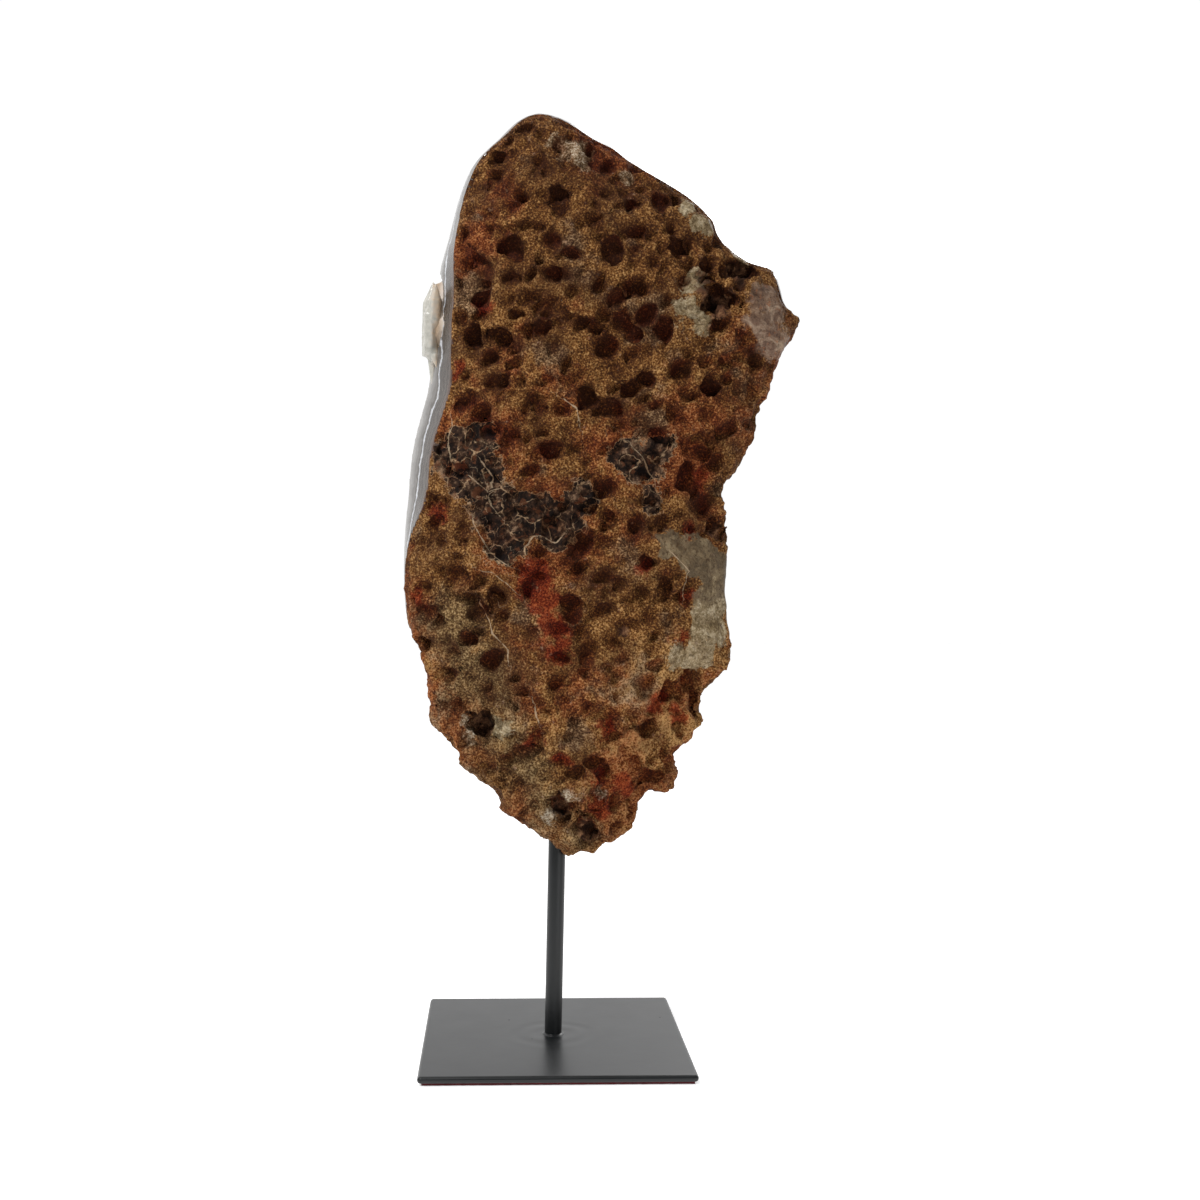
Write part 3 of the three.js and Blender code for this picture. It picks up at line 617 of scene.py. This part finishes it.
def rindMaterial():
    material, tree, shader = newMaterial("spongyRind")
    place = placeOf(tree)
    height = addNode(tree, "ShaderNodeSeparateXYZ", {0: place}).outputs["Z"]
    grain = noiseNode(tree, place, 1050, 3, 0.7)
    crumbs = addNode(tree, "ShaderNodeTexVoronoi", {"Vector": place, "Scale": 1200}).outputs["Distance"]
    gaps = stepBetween(tree, noiseNode(tree, place, 620, 2, 0.6), 0.52, 0.68)
    ragged = math2(tree, "SUBTRACT", noiseNode(tree, place, 190, 5, 0.7), 0.5)
    pit = plus(tree, attributeOf(tree, "pit"), ragged, 0.7)
    tone, low = rindTone(tree, place, grain, crumbs, pit, height)
    colour, redZone = spongyColour(tree, place, tone, low, ragged)

    def patch(name, under, over, strength=1.0, soft=0.1):   # a colour patch with a ragged edge
        edge = plus(tree, attributeOf(tree, name), ragged, 2.2)
        share = times(tree, stepBetween(tree, edge, 0.5 - soft, 0.5 + soft), strength)
        return share, mixColour(tree, share, under, over)

    _, colour = patch("red", colour, colourRamp(tree, tone, rindColours["red"]), 0.88, 0.3)
    greyStone = greyStoneColour(tree, place, grain, ragged, height)
    greyShare, colour = patch("grey", colour, greyStone, 0.9, 0.12)
    brownShare, colour = patch("smoothBrown", colour, brownStoneColour(tree, place), 0.9, 0.25)
    _, colour = patch("cream", colour, colourRamp(tree, tone, rindColours["cream"]), 0.85, 0.25)
    colour = mixColour(tree, times(tree, gaps, 0.5), colour, rindColours["gaps"])
    flaked, ridges = flakedColour(tree, place, ragged)
    flakedShare, colour = patch("flaked", colour, flaked, 1.0, 0.06)
    lip = times(tree, opposite(tree, flakedShare), flakedShare)
    colour = mixColour(tree, math2(tree, "MULTIPLY", lip, 3.6, True), colour, rindColours["brokenLip"])
    veinWidth = plus(tree, math2(tree, "ABSOLUTE", attributeOf(tree, "vein")), ragged, 1.7)
    veinShare = opposite(tree, stepBetween(tree, veinWidth, 0.04, 0.34))
    colour = mixColour(tree, times(tree, veinShare, 0.7), colour, rindColours["veins"])

    # painted shade: the pits darken softly, brown in some zones, and in others red with the pits' own red
    # tinge
    shade = mixColour(tree, stepBetween(tree, redZone, 0.45, 0.6), rindColours["brownShade"],
                      rindColours["redShade"])
    darkened = mixColour(tree, 1.0, colour, shade, "MULTIPLY")
    colour = mixColour(tree, stepBetween(tree, pit, 0.0, 0.9), colour, darkened)
    # painted shade: the insides of the deep holes are coloured dark, with paler lobes
    holeShade = colourRamp(tree, noiseNode(tree, place, 170, 4, 0.7, 0.8), rindColours["holeShade"])
    _, colour = patch("deepHoleShade", colour, holeShade, 0.9, 0.2)

    smoothStone = math2(tree, "MAXIMUM", greyShare, brownShare)
    roughness = plus(tree, plus(tree, 0.9, smoothStone, -0.45), flakedShare, -0.2)
    setInputs(tree, shader, {"Base Color": colour, "Roughness": roughness, "Specular IOR Level": 0.12})
    relief = math2(tree, "ADD", plus(tree, grain, crumbs, 0.6), times(tree, ridges, flakedShare))
    addBump(tree, shader, relief, plus(tree, 1.0, smoothStone, -0.65), 0.0005)
    return material


polishedColours = {
    # by depth in from the rind, as a share of the deepest band
    "deepest": 30,
    "bands": [(0.0, (0.050, 0.018, 0.009)), (0.022, (0.060, 0.027, 0.014)), (0.044, (0.036, 0.022, 0.014)),
              (0.135, (0.040, 0.031, 0.025)), (0.146, (0.52, 0.53, 0.56)), (0.153, (0.52, 0.53, 0.56)),
              (0.162, (0.070, 0.060, 0.052)), (0.30, (0.30, 0.29, 0.28)), (0.36, (0.38, 0.37, 0.35)),
              (0.40, (0.16, 0.15, 0.15)), (0.50, (0.28, 0.27, 0.26)), (0.58, (0.50, 0.49, 0.46))],
    "fineBands": (0.50, 0.48, 0.46),
    "cloud": (0.10, 0.085, 0.075),
}


def polishedMaterial():   # sawn agate, banded by its depth in from the rind
    material, tree, shader = newMaterial("polishedAgate")
    place = placeOf(tree)
    wavy = math2(tree, "SUBTRACT", noiseNode(tree, place, 95, 4, 0.6), 0.5)
    depth = plus(tree, attributeOf(tree, "band"), wavy, 4.0)
    share = math2(tree, "DIVIDE", depth, polishedColours["deepest"])
    colour = colourRamp(tree, share, polishedColours["bands"])
    fineBands = math2(tree, "ADD", math2(tree, "SINE", times(tree, depth, 7.0)), 1.0)
    fineBands = times(tree, fineBands, noiseNode(tree, place, 40, 2, 0.5))
    colour = mixColour(tree, times(tree, fineBands, 0.08), colour, polishedColours["fineBands"])
    cloud = stepBetween(tree, noiseNode(tree, place, 110, 4, 0.6), 0.45, 0.75)
    colour = mixColour(tree, times(tree, cloud, 0.3), colour, polishedColours["cloud"])
    roughness = plus(tree, 0.16, noiseNode(tree, place, 240, 3, 0.6), 0.10)
    setInputs(tree, shader, {
        "Base Color": colour, "Roughness": roughness, "IOR": 1.54, "Specular IOR Level": 0.28,
        "Subsurface Weight": 0.1, "Subsurface Radius": (0.004, 0.0035, 0.003), "Subsurface Scale": 0.6})
    addBump(tree, shader, noiseNode(tree, place, 160, 3, 0.5), 0.15, 0.0006)
    return material


# Crystal crust

druzyCrust = {
    "voxel": 1.7,
    "sink": 1.6,                  # how far the ground lies under the modelled crust
    "widen": 1.0,                 # how far it grows towards the wall of the hollow
    "sideFacing": 0.3,            # faces that point less than this towards +Y are its sides
    "spacing": 2.5,
    "radius": (1.0, 3.2),
    "fewLarge": 2.2,              # the higher this power, the fewer large ones
    "height": (1.3, 2.2),         # these two as a share of the radius
    "point": 1.15,
    "lean": 0.5,
    "tries": 42000,
    "bare": {"x": -51, "z": (306, 368)},
    # the milky block at the breach: foot, axis, radius, length, length of the point
    "block": [
        ((-58.4, 12.5, 328), (0.07, 0.05, 1), 4.6, 31, 12), ((-57.6, 8.5, 325), (0.02, -0.1, 1), 4.0, 24, 9),
        ((-59.0, 14.5, 324), (-0.02, 0.08, 1), 3.6, 19, 5), ((-55.6, 6.5, 337), (0.05, -0.2, 1), 3.4, 19, 9),
        ((-58.0, 11.0, 323), (-0.1, 0.0, 1), 3.4, 13, 5), ((-56.4, 15.5, 335), (0.1, 0.15, 1), 4.2, 22, 6),
        ((-57.4, 11.5, 327), (0.12, -0.1, -1), 3.0, 11, 6), ((-57.8, 13.5, 328), (0.05, 0.2, -1), 2.4, 9, 4),
        ((-56.0, 9.0, 326), (0.14, -0.3, -1), 2.4, 12, 6), ((-53.4, 14.0, 326), (0.0, 0.1, 1), 4.0, 16, 6),
        ((-53.2, 13.0, 338), (0.03, 0.1, 1), 4.2, 18, 7), ((-54.6, 14.5, 322), (-0.05, -0.1, 1), 3.4, 9, 4),
        ((-55.6, 12.5, 309), (-0.10, 0.0, 1), 2.6, 16, 4), ((-54.4, 14.0, 302), (-0.06, 0.1, 1), 2.4, 14, 5),
    ],
    "blockVoxel": 0.65,           # the block's crystals are worn and grown together
}


def crystalPoints(place, axis, radius, height, point, twist):   # a six-sided prism under an uneven point
    side = axis.orthogonal().normalized()
    other = axis.cross(side)
    rings = []
    for share, lift in ((0.86, -0.5 * radius), (1.0, height - point)):
        for k in range(6):
            angle = twist + k * math.pi / 3
            out = side * math.cos(angle) + other * math.sin(angle)
            uneven = 0.12 * radius * (k % 2) if lift > 0 else 0
            rings.append(place + axis * (lift + uneven) + out * (radius * share))
    return [*rings, place + axis * height]


crystalFaces = [*[(k, (k + 1) % 6, 6 + (k + 1) % 6, 6 + k) for k in range(6)],
                *[(6 + k, 6 + (k + 1) % 6, 12) for k in range(6)]]


def groundSpots(ground):   # random spots on the crust's outer faces, none too close to another
    random.seed(17)
    faces = ground.data.polygons
    bare = druzyCrust["bare"]
    normals = [face.normal.copy() for face in faces]
    weights = []
    for face in faces:
        x, _, z = face.center / mm
        inBare = x < bare["x"] and bare["z"][0] < z < bare["z"][1] and face.normal.y < 0.5
        weights.append(0 if inBare or face.normal.y < -0.3 else face.area)
    cell = druzyCrust["spacing"] * mm
    taken = {}
    spots = []
    for i in random.choices(range(len(faces)), weights=weights, k=druzyCrust["tries"]):
        corners = [ground.data.vertices[v].co for v in faces[i].vertices]
        place = corners[0].lerp(corners[1], random.random()).lerp(corners[2], random.random() * 0.7)
        key = tuple(int(c // cell) for c in place)
        near = [p for dx in (-1, 0, 1) for dy in (-1, 0, 1) for dz in (-1, 0, 1)
                for p in taken.get((key[0] + dx, key[1] + dy, key[2] + dz), ())]
        if all((p - place).length >= cell for p in near):
            taken.setdefault(key, []).append(place)
            spots.append((place, normals[i]))
    return spots


def crystalObject(name, made, low, high, closed=False):   # closed ones can be grown together
    faces = [*crystalFaces, (5, 4, 3, 2, 1, 0)] if closed else crystalFaces
    mesh = bpy.data.meshes.new(name)
    count = len(made[0])
    corners = [np.clip(p, low, high) for crystal in made for p in crystal]
    sides = [tuple(count * i + k for k in face) for i in range(len(made)) for face in faces]
    mesh.from_pydata(corners, [], sides)
    setAttribute(mesh, "tint", np.repeat([random.random() for _ in made], count))
    piece = bpy.data.objects.new(name, mesh)
    scene.collection.objects.link(piece)
    return piece


def makeDruzyCrust():
    piece = copyOfNode("druzy_crust", "druzyCrust")
    addModifier(piece, "REMESH", mode="VOXEL", voxel_size=druzyCrust["voxel"] * mm)
    addModifier(piece, "SMOOTH", factor=0.6, iterations=5)
    mesh = piece.data
    points = readVectors(mesh, "co")
    normals = readVectors(mesh, "normal")
    facing = normals[:, 1]
    sink, side = druzyCrust["sink"], druzyCrust["sideFacing"]
    move = np.where(facing > side, -sink, 0) + np.where(abs(facing) < side, druzyCrust["widen"], 0)
    move[(points[:, 0] < druzyCrust["bare"]["x"] * mm) & (facing < side)] = -sink
    setPoints(mesh, points + normals * (move * mm)[:, None])

    random.seed(29)
    low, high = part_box("druzy_crust")
    made = []
    for place, normal in groundSpots(piece):
        least, most = druzyCrust["radius"]
        radius = (least + (most - least) * random.random() ** druzyCrust["fewLarge"]) * mm
        axis = normal + Vector([random.gauss(0, druzyCrust["lean"]) for _ in range(3)])
        if axis.dot(normal) < 0.5:
            axis = normal.copy()
        axis.normalize()
        height = radius * random.uniform(*druzyCrust["height"])
        point = radius * druzyCrust["point"]
        corners = crystalPoints(place, axis, radius, height, point, random.uniform(0, math.pi))
        over = max(max(low[k] - corners[-1][k], corners[-1][k] - high[k]) for k in range(3))
        made.append([p - normal * max(over, 0) for p in corners])
    large = [crystalPoints(Vector(place) * mm, Vector(axis).normalized(), radius * mm, height * mm,
                           point * mm, random.uniform(0, math.pi))
             for place, axis, radius, height, point in druzyCrust["block"]]
    materials = groundMaterial(), crystalMaterial(), milkyMaterial()
    cluster = crystalObject("crystals", made, low, high)
    block = crystalObject("block", large, low, high, True)
    addModifier(block, "REMESH", mode="VOXEL", voxel_size=druzyCrust["blockVoxel"] * mm)
    addModifier(block, "SMOOTH", factor=0.5, iterations=4)
    for index, part in enumerate((piece, cluster, block)):
        if part is not cluster:
            setAttribute(part.data, "tint", np.full(len(part.data.vertices), 0.5))
        for material in materials:
            part.data.materials.append(material)
        for face in part.data.polygons:
            face.material_index = index
            face.use_smooth = part is not cluster
    deselectAll()
    for part in (cluster, block, piece):
        part.select_set(True)
    bpy.context.view_layer.objects.active = piece
    bpy.ops.object.join()
    finishPiece(piece, "druzy_crust", "quartz_crystals")
    print("druzy crust:", len(made), "crystals,", len(piece.data.polygons), "faces")


quartzColours = {
    # pale, smoky and warm
    "ground": ((0.62, 0.60, 0.56), (0.40, 0.38, 0.36), (0.62, 0.42, 0.26)),
    "crystal": ((0.93, 0.92, 0.90), (0.80, 0.78, 0.77), (0.93, 0.78, 0.62)),
    "groundGrain": (0.75, 0.74, 0.70),
    "groundAtBreach": (0.36, 0.24, 0.14),
    "greyCrystals": (0.66, 0.64, 0.62),
    "milky": [(0.35, (0.43, 0.42, 0.37)), (0.6, (0.62, 0.60, 0.54))],
    "milkyStain": (0.62, 0.42, 0.25),
    # x in metres, where the ground darkens towards the breach and where the stain sets in
    "breach": (-0.0545, -0.0485),
    "stain": (-0.0515, -0.0465),
}


def quartzColour(tree, place, pale, smoky, warm):
    broad = noiseNode(tree, place, 32, 3, 0.55)
    colour = mixColour(tree, stepBetween(tree, broad, 0.4, 0.65), pale, smoky)
    warmth = stepBetween(tree, noiseNode(tree, place, 48, 4, 0.6), 0.56, 0.72)
    return mixColour(tree, times(tree, warmth, 0.6), colour, warm)


def groundMaterial():
    material, tree, shader = newMaterial("quartzGround")
    place = placeOf(tree)
    colour = quartzColour(tree, place, *quartzColours["ground"])
    fine = noiseNode(tree, place, 700, 3, 0.6)
    colour = mixColour(tree, times(tree, fine, 0.4), colour, quartzColours["groundGrain"])
    across = addNode(tree, "ShaderNodeSeparateXYZ", {0: place}).outputs["X"]
    atBreach = opposite(tree, stepBetween(tree, across, *quartzColours["breach"]))
    colour = mixColour(tree, times(tree, atBreach, 0.9), colour, quartzColours["groundAtBreach"])
    setInputs(tree, shader, {"Base Color": colour, "Roughness": 0.35})
    addBump(tree, shader, fine, 0.6, 0.0008)
    return material


def crystalMaterial():
    material, tree, shader = newMaterial("quartzCrystal")
    place = placeOf(tree)
    colour = quartzColour(tree, place, *quartzColours["crystal"])
    tint = attributeOf(tree, "tint")
    colour = mixColour(tree, times(tree, tint, 0.25), colour, quartzColours["greyCrystals"])
    cloud = stepBetween(tree, noiseNode(tree, place, 300, 3, 0.6), 0.35, 0.7)
    setInputs(tree, shader, {"Base Color": colour, "Roughness": plus(tree, 0.04, cloud, 0.12), "IOR": 1.544,
                             "Transmission Weight": 0.55})
    return material


def milkyMaterial():   # cloudy quartz, stained orange where it meets the agate
    material, tree, shader = newMaterial("milkyQuartz")
    place = placeOf(tree)
    across = addNode(tree, "ShaderNodeSeparateXYZ", {0: place}).outputs["X"]
    cloud = noiseNode(tree, place, 260, 5, 0.65)
    colour = colourRamp(tree, cloud, quartzColours["milky"])
    stain = stepBetween(tree, plus(tree, across, cloud, 0.012), *quartzColours["stain"])
    colour = mixColour(tree, times(tree, stain, 0.75), colour, quartzColours["milkyStain"])
    setInputs(tree, shader, {"Base Color": colour, "Roughness": 0.22, "IOR": 1.544,
                             "Transmission Weight": 0.25})
    addBump(tree, shader, cloud, 0.5, 0.0012)
    return material


# Stand

stand = {
    "plateShy": 0.05,             # the plate is this much narrower than its solid
    "plateCorner": 1.6, "plateEase": 0.45,
    "rodRadius": 4, "rodSides": 64, "rodEase": 0.4, "leanDegrees": 1.2,
    "beadRadius": 5.1, "beadHeight": 0.8,
    "feltFuzz": 0.25,
}


def selectEdges(piece, wanted):
    bpy.ops.object.mode_set(mode="OBJECT")
    for edge in piece.data.edges:
        a, b = (piece.data.vertices[i].co for i in edge.vertices)
        edge.select = wanted(a, b)
    bpy.ops.object.mode_set(mode="EDIT")


def addBox(nodeName, pieceName, shy=0.0):   # as large as the node, or a little narrower
    low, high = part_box(nodeName)
    middle = [(low[k] + high[k]) / 2 for k in range(3)]
    size = [high[0] - low[0] - shy, high[1] - low[1] - shy, high[2] - low[2]]
    deselectAll()
    bpy.ops.mesh.primitive_cube_add(size=1, location=middle, scale=size)
    piece = bpy.context.object
    piece.name = pieceName
    applyPlace(piece)
    bpy.ops.object.mode_set(mode="EDIT")
    return piece, size


def makeBasePlate():
    piece, size = addBox("base_plate", "basePlate", stand["plateShy"] * mm)
    bpy.ops.mesh.select_mode(type="EDGE")
    selectEdges(piece, lambda a, b: abs(a.z - b.z) > 0.5 * size[2])
    bpy.ops.mesh.bevel(offset=stand["plateCorner"] * mm, segments=6)
    selectEdges(piece, lambda a, b: abs(a.z - b.z) < 1e-6)
    bpy.ops.mesh.bevel(offset=stand["plateEase"] * mm, segments=3)
    bpy.ops.object.mode_set(mode="OBJECT")
    bpy.ops.object.shade_smooth_by_angle(angle=math.radians(25))
    finishPiece(piece, "base_plate", "black_steel", paintMaterial("platePaint", True))


def makeStandRod():
    low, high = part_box("stand_rod")
    length = high[2] - low[2]
    radius = stand["rodRadius"] * mm
    deselectAll()
    bpy.ops.mesh.primitive_cylinder_add(vertices=stand["rodSides"], radius=radius, depth=length,
                                        location=(0, 0, low[2] + length / 2))
    piece = bpy.context.object
    piece.name = "standRod"
    applyPlace(piece)
    bpy.ops.object.mode_set(mode="EDIT")
    bpy.ops.mesh.select_mode(type="VERT")
    bpy.ops.mesh.select_all(action="DESELECT")
    bpy.ops.object.mode_set(mode="OBJECT")
    for vertex in piece.data.vertices:
        vertex.select = vertex.co.z > low[2] + length / 2
    bpy.ops.object.mode_set(mode="EDIT")
    bpy.ops.transform.translate(value=(length * math.tan(math.radians(stand["leanDegrees"])), 0, 0))
    bpy.ops.mesh.bevel(offset=stand["rodEase"] * mm, segments=2)

    deselectAll()
    bpy.ops.mesh.primitive_cone_add(vertices=stand["rodSides"], radius1=stand["beadRadius"] * mm,
                                    radius2=radius, depth=stand["beadHeight"] * mm,
                                    location=(0, 0, low[2] + 0.5 * stand["beadHeight"] * mm))
    bead = bpy.context.object
    applyPlace(bead)
    deselectAll()
    bead.select_set(True)
    piece.select_set(True)
    bpy.context.view_layer.objects.active = piece
    bpy.ops.object.join()
    bpy.ops.object.shade_smooth_by_angle(angle=math.radians(40))
    finishPiece(piece, "stand_rod", "black_steel", paintMaterial("rodPaint", False))


def makeBaseFelt():
    piece, size = addBox("base_felt", "baseFelt")
    bpy.ops.mesh.select_all(action="SELECT")
    bpy.ops.mesh.subdivide(number_cuts=63)
    bpy.ops.object.mode_set(mode="OBJECT")
    points = readVectors(piece.data, "co")
    fuzz = noiseAt(points, 2.2 * mm, 4) * stand["feltFuzz"] * mm
    for k in (0, 1):
        rim = np.abs(points[:, k]) > 0.5 * size[k] - 1e-5
        points[rim, k] -= np.sign(points[rim, k]) * (stand["feltFuzz"] * mm + fuzz[rim])
    setPoints(piece.data, points)
    finishPiece(piece, "base_felt", "felt", feltMaterial())


standColours = {
    "paint": ((0.0040, 0.0049, 0.0054), (0.0080, 0.0093, 0.0100)),
    "lightDust": (0.35, 0.34, 0.32),
    "darkDust": (0.004, 0.003, 0.003),
    "felt": [(0.3, (0.035, 0.004, 0.006)), (0.55, (0.13, 0.014, 0.018)), (0.75, (0.26, 0.045, 0.045))],
    "feltShade": (0.05, 0.008, 0.01),
    "feltSheen": (0.8, 0.35, 0.35),
}


def paintMaterial(name, withWeldRipples):
    material, tree, shader = newMaterial(name)
    place = placeOf(tree)
    haze = noiseNode(tree, place, 60, 4, 0.6)
    colour = mixColour(tree, haze, *standColours["paint"])
    dust = addNode(tree, "ShaderNodeTexVoronoi", {"Vector": place, "Scale": 95, "Randomness": 1.0})
    chosen = addNode(tree, "ShaderNodeSeparateColor", {"Color": dust.outputs["Color"]}).outputs["Red"]
    speck = math2(tree, "LESS_THAN", dust.outputs["Distance"], 0.045)
    light = times(tree, speck, math2(tree, "GREATER_THAN", chosen, 0.93))
    dark = times(tree, speck, math2(tree, "LESS_THAN", chosen, 0.10))
    colour = mixColour(tree, times(tree, light, 0.6), colour, standColours["lightDust"])
    colour = mixColour(tree, dark, colour, standColours["darkDust"])
    roughness = plus(tree, plus(tree, 0.30, haze, 0.08), math2(tree, "ADD", light, dark), 0.5)
    setInputs(tree, shader, {"Base Color": colour, "Roughness": roughness, "Specular IOR Level": 0.44})
    fine = noiseNode(tree, place, 900, 2, 0.5)
    relief = plus(tree, times(tree, fine, 0.035), noiseNode(tree, place, 120, 3, 0.5), 0.10)
    if withWeldRipples:
        # the heat of the weld left faint rings in the sheet round the rod
        flat = addNode(tree, "ShaderNodeVectorMath", {0: place, 1: (1, 1, 0)}, operation="MULTIPLY")
        away = addNode(tree, "ShaderNodeVectorMath", {0: flat.outputs[0]}, operation="LENGTH")
        away = plus(tree, away.outputs["Value"], noiseNode(tree, place, 45, 2, 0.5), 0.006)
        ripple = math2(tree, "SINE", times(tree, away, 560.0))
        fade = opposite(tree, stepBetween(tree, away, 0.016, 0.030))
        fade = times(tree, stepBetween(tree, away, 0.004, 0.009), fade)
        relief = plus(tree, relief, times(tree, ripple, fade), 0.22)
    addBump(tree, shader, relief, 0.5, 0.0006)
    return material


def feltMaterial():
    material, tree, shader = newMaterial("redFelt")
    place = placeOf(tree)
    fibres = noiseNode(tree, place, 1400, 4, 0.7, 1.2)
    mottled = noiseNode(tree, place, 140, 3, 0.6)
    colour = colourRamp(tree, fibres, standColours["felt"])
    colour = mixColour(tree, times(tree, mottled, 0.35), colour, standColours["feltShade"])
    setInputs(tree, shader, {"Base Color": colour, "Roughness": 0.95, "Sheen Weight": 0.35,
                             "Sheen Roughness": 0.5, "Sheen Tint": (*standColours["feltSheen"], 1)})
    addBump(tree, shader, fibres, 0.8, 0.0003)
    return material


# Floor and light

studio = {
    "floorSize": 12,
    "floorColour": (0.80, 0.80, 0.80),
    "floorGlow": 0.47,            # a light table
    "worldColour": (1.0, 1.0, 1.0),
    "roomStrength": (0.18, 1.02),  # in front of the stone, and behind it
    "roomChange": (-0.6, 0.6),
    # name, place, size, watts, aim
    "lamps": [
        ("keyLamp", (-0.75, -0.72, 1.65), 0.33, 27, (0.02, 0, 0.27)),
        ("lowLamp", (0.60, -0.95, 0.20), 0.7, 1.2, (0.02, 0, 0.18)),
        ("backLamp", (0.5, 1.10, 1.0), 0.6, 4, (0.02, 0, 0.27)),
    ],
}


def makeStudio():
    deselectAll()
    bpy.ops.mesh.primitive_plane_add(size=studio["floorSize"], location=(0, 0, 0))
    floor = bpy.context.object
    floor.name = "studioFloor"
    material, tree, shader = newMaterial("paleFloor")
    setInputs(tree, shader, {"Base Color": (*studio["floorColour"], 1), "Roughness": 0.6,
                             "Emission Color": (1, 1, 1, 1), "Emission Strength": studio["floorGlow"]})
    floor.data.materials.append(material)
    for name, place, size, watts, aim in studio["lamps"]:
        turn = (Vector(aim) - Vector(place)).to_track_quat("-Z", "Y").to_euler()
        bpy.ops.object.light_add(type="AREA", location=place, rotation=turn)
        lamp = bpy.context.object
        lamp.name = name
        lamp.data.shape = "DISK"
        lamp.data.size = size
        lamp.data.energy = watts
    world = bpy.data.worlds.new("studioWorld")
    world.use_nodes = True
    background = world.node_tree.nodes["Background"]
    way = addNode(world.node_tree, "ShaderNodeTexCoord").outputs["Generated"]
    back = addNode(world.node_tree, "ShaderNodeSeparateXYZ", {0: way}).outputs["Y"]
    room, backdrop = studio["roomStrength"]
    front, behind = studio["roomChange"]
    strength = addNode(world.node_tree, "ShaderNodeMapRange", {
        "Value": back, "From Min": front, "From Max": behind, "To Min": room, "To Max": backdrop})
    setInputs(world.node_tree, background, {"Color": (*studio["worldColour"], 1),
                                            "Strength": strength.outputs["Result"]})
    scene.world = world
    scene.view_settings.view_transform = "Standard"


makeStudio()
print("studio ready")
makeBaseFelt()
makeBasePlate()
makeStandRod()
print("stand made")
makeAgateSlab()
makeDruzyCrust()
print("stone made")
